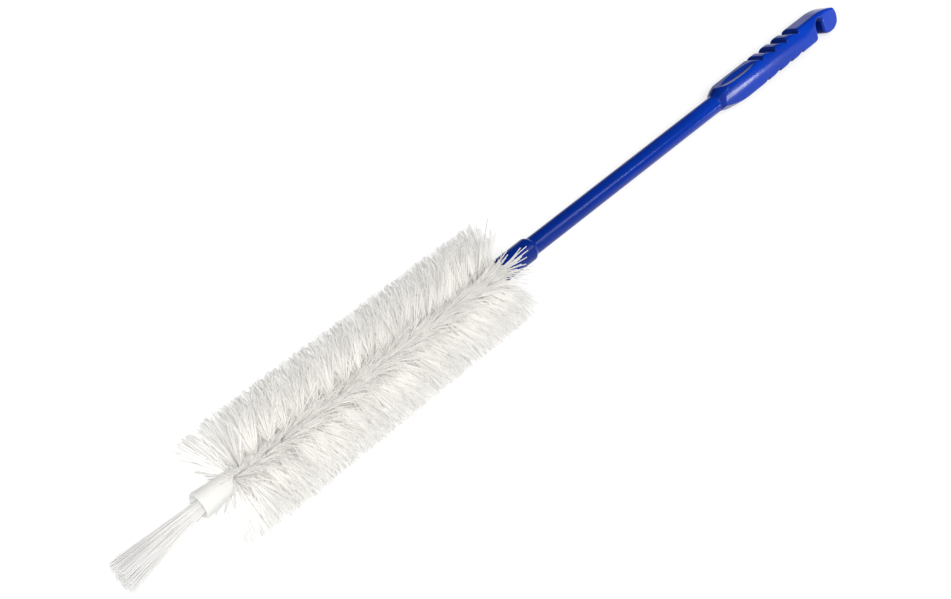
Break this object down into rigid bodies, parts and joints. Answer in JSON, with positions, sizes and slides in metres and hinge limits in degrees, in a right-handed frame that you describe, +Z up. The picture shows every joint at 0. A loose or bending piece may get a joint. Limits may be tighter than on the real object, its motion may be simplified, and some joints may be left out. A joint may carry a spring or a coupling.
{
  "type": "bottle brush",
  "caption": "Long bottle brush: white nylon tufts in a drilled core, a straight end tuft, and a blue moulded handle with a ribbed grip and a hanging hook.",
  "frame": {"origin": "centre of the bounding box at the surface that the brush rests on", "axes": "+X along the brush from the end tuft to the hook, as seen from above; +Z up, with the brush lying at rest on its bristles and the end of its grip"},
  "size_m": [0.4907, 0.05, 0.0574],
  "materials": {
    "handle_blue": "gloss",
    "core_white": "satin",
    "nylon_white": "satin",
    "staple_wire": "satin"
  },
  "bodies": {
    "root": {"handle": "handle_blue", "core": "core_white", "tuft_staples": "staple_wire", "end_tuft": "nylon_white", "end_staple": "staple_wire", "tuft_ring_01": "nylon_white", "tuft_ring_02": "nylon_white", "tuft_ring_03": "nylon_white", "tuft_ring_04": "nylon_white", "tuft_ring_05": "nylon_white", "tuft_ring_06": "nylon_white", "tuft_ring_07": "nylon_white", "tuft_ring_08": "nylon_white", "tuft_ring_09": "nylon_white", "tuft_ring_10": "nylon_white", "tuft_ring_11": "nylon_white", "tuft_ring_12": "nylon_white", "tuft_ring_13": "nylon_white", "tuft_ring_14": "nylon_white", "tuft_ring_15": "nylon_white", "tuft_ring_16": "nylon_white", "tuft_ring_17": "nylon_white", "tuft_ring_18": "nylon_white", "tuft_ring_19": "nylon_white", "tuft_ring_20": "nylon_white", "tuft_ring_21": "nylon_white", "tuft_ring_22": "nylon_white", "tuft_ring_23": "nylon_white", "tuft_ring_24": "nylon_white", "tuft_ring_25": "nylon_white", "tuft_ring_26": "nylon_white", "tuft_ring_27": "nylon_white", "tuft_ring_28": "nylon_white", "tuft_ring_29": "nylon_white", "tuft_ring_30": "nylon_white", "tuft_ring_31": "nylon_white", "tuft_ring_32": "nylon_white", "tuft_ring_33": "nylon_white", "tuft_ring_34": "nylon_white", "tuft_ring_35": "nylon_white", "tuft_ring_36": "nylon_white", "tuft_ring_37": "nylon_white", "tuft_ring_38": "nylon_white", "tuft_ring_39": "nylon_white"}
  },
  "joints": []
}
